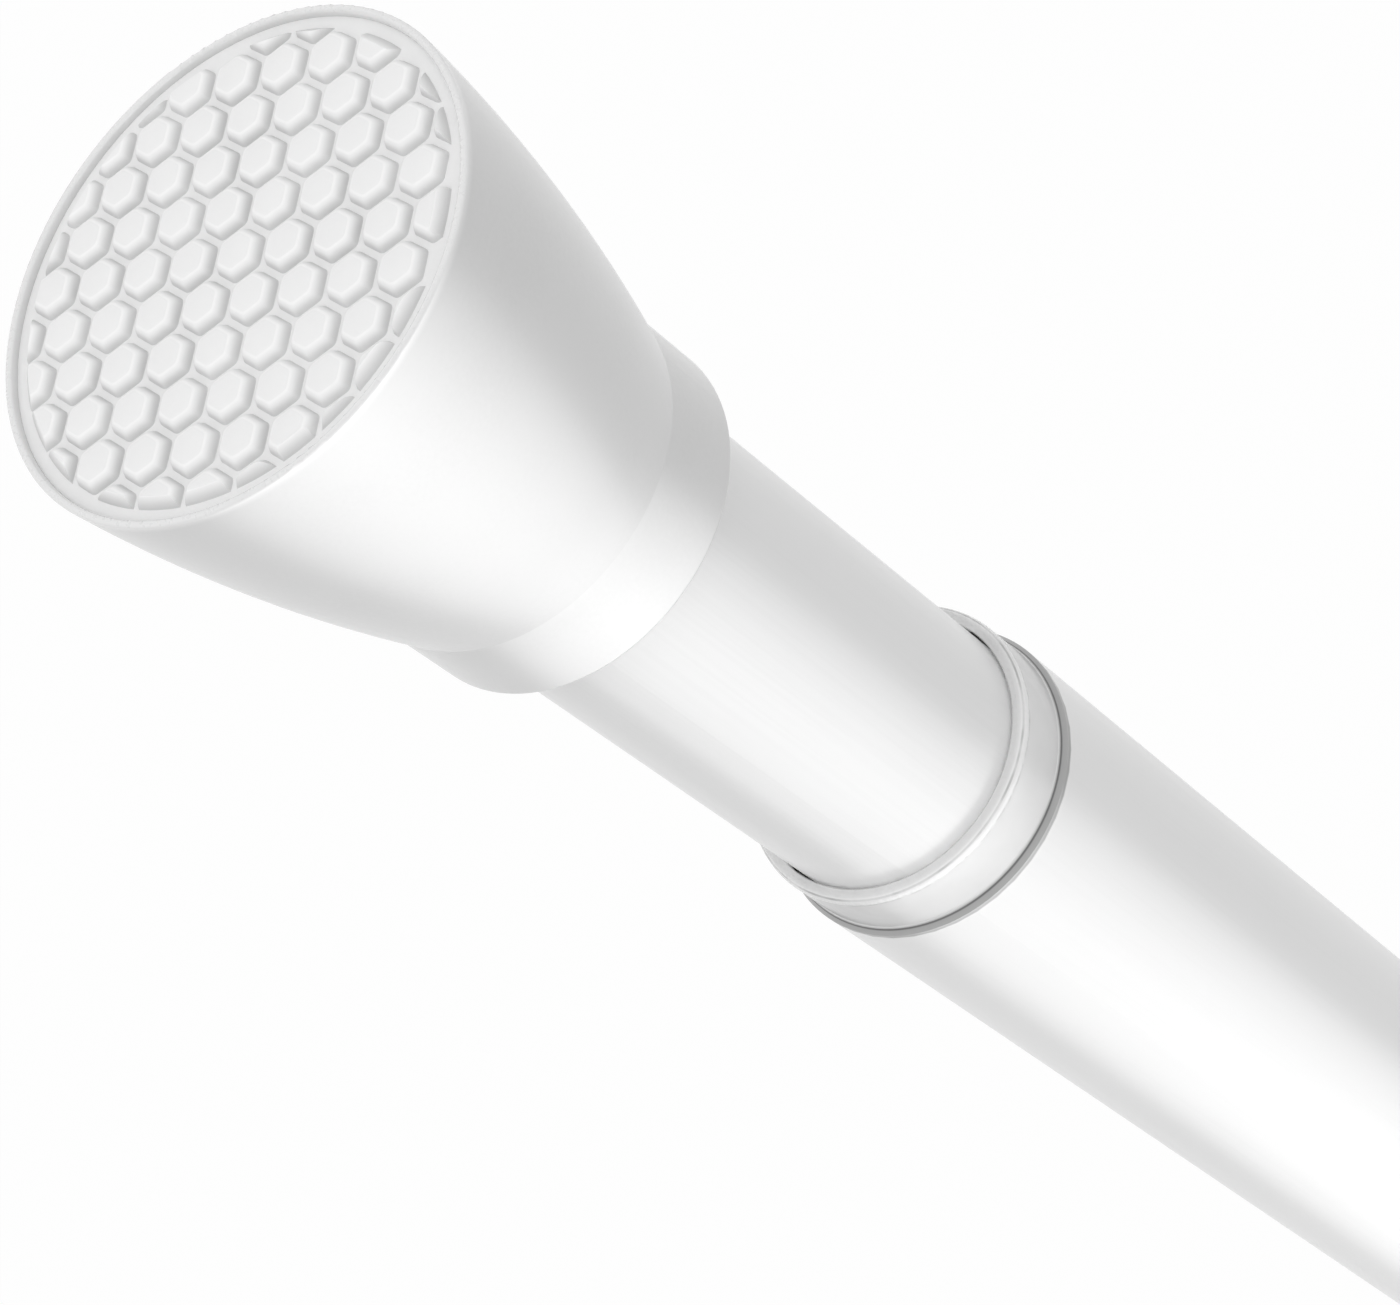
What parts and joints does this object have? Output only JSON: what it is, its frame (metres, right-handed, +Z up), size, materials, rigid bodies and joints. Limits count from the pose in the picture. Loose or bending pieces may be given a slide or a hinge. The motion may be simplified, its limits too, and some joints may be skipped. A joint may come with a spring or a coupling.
{
  "type": "spring tension rod",
  "caption": "White telescoping tension rod with flared end caps, honeycomb wall pads, a clear collar, and a spring and twist lock inside the tubes.",
  "frame": {"origin": "centre of the front pad's wall face, on the rod's axis", "axes": "+X along the rod from the front pad to the rear pad, +Z up as the rod hangs between two walls"},
  "size_m": [0.426, 0.0362, 0.0362],
  "materials": {
    "pad_rubber": "soft white moulded rubber, satin",
    "cap_plastic": "white moulded plastic, soft gloss",
    "tube_paint": "white gloss enamel on thin steel tube",
    "clear_plastic": "clear moulded plastic, polished",
    "plug_plastic": "natural moulded plastic",
    "lock_plastic": "dark glass-filled plastic, matte",
    "ring_rubber": "black rubber ring",
    "steel": "zinc-plated steel"
  },
  "bodies": {
    "fixed_half": {"front_grip_pad": "pad_rubber", "front_end_cap": "cap_plastic", "front_cap_screw": "steel", "front_tube_plug": "plug_plastic", "inner_tube": "tube_paint", "spring_stop": "plug_plastic", "front_spring_washer": "steel", "compression_spring": "steel", "stem_bush": "plug_plastic"},
    "plunger": {"rear_spring_washer": "steel", "lock_plunger": "lock_plastic", "cam_washer": "steel", "cam_screw": "steel"},
    "centring": {"centring_bush": "plug_plastic", "friction_ring": "ring_rubber"},
    "cam": {"cam_ring": "lock_plastic"},
    "sliding_half": {"clear_collar": "clear_plastic", "outer_tube": "tube_paint", "rear_tube_plug": "plug_plastic", "rear_cap_screw": "steel", "rear_end_cap": "cap_plastic", "rear_grip_pad": "pad_rubber"}
  },
  "joints": [
    {"name": "spring_travel", "type": "slide", "parent": "fixed_half", "child": "plunger", "axis": [1, 0, 0], "range_m": [-0.02, 0], "stiffness_N_per_m": 1900, "springref_m": 0.006, "deforming": ["compression_spring"]},
    {"name": "twist_lock", "type": "hinge", "parent": "plunger", "child": "centring", "pos_m": [0.349, 0, 0], "axis": [1, 0, 0], "range_deg": [-36, 36]},
    {"name": "cam_turn", "type": "hinge", "parent": "plunger", "child": "cam", "pos_m": [0.3585, 0, 0.0009], "axis": [1, 0, 0], "range_deg": [-36, 36]},
    {"name": "telescope", "type": "slide", "parent": "centring", "child": "sliding_half", "axis": [1, 0, 0], "range_m": [-0.02, 0.184]}
  ],
  "couplings": [
    {"joint": "cam_turn", "follows": "twist_lock", "ratio": 1}
  ]
}
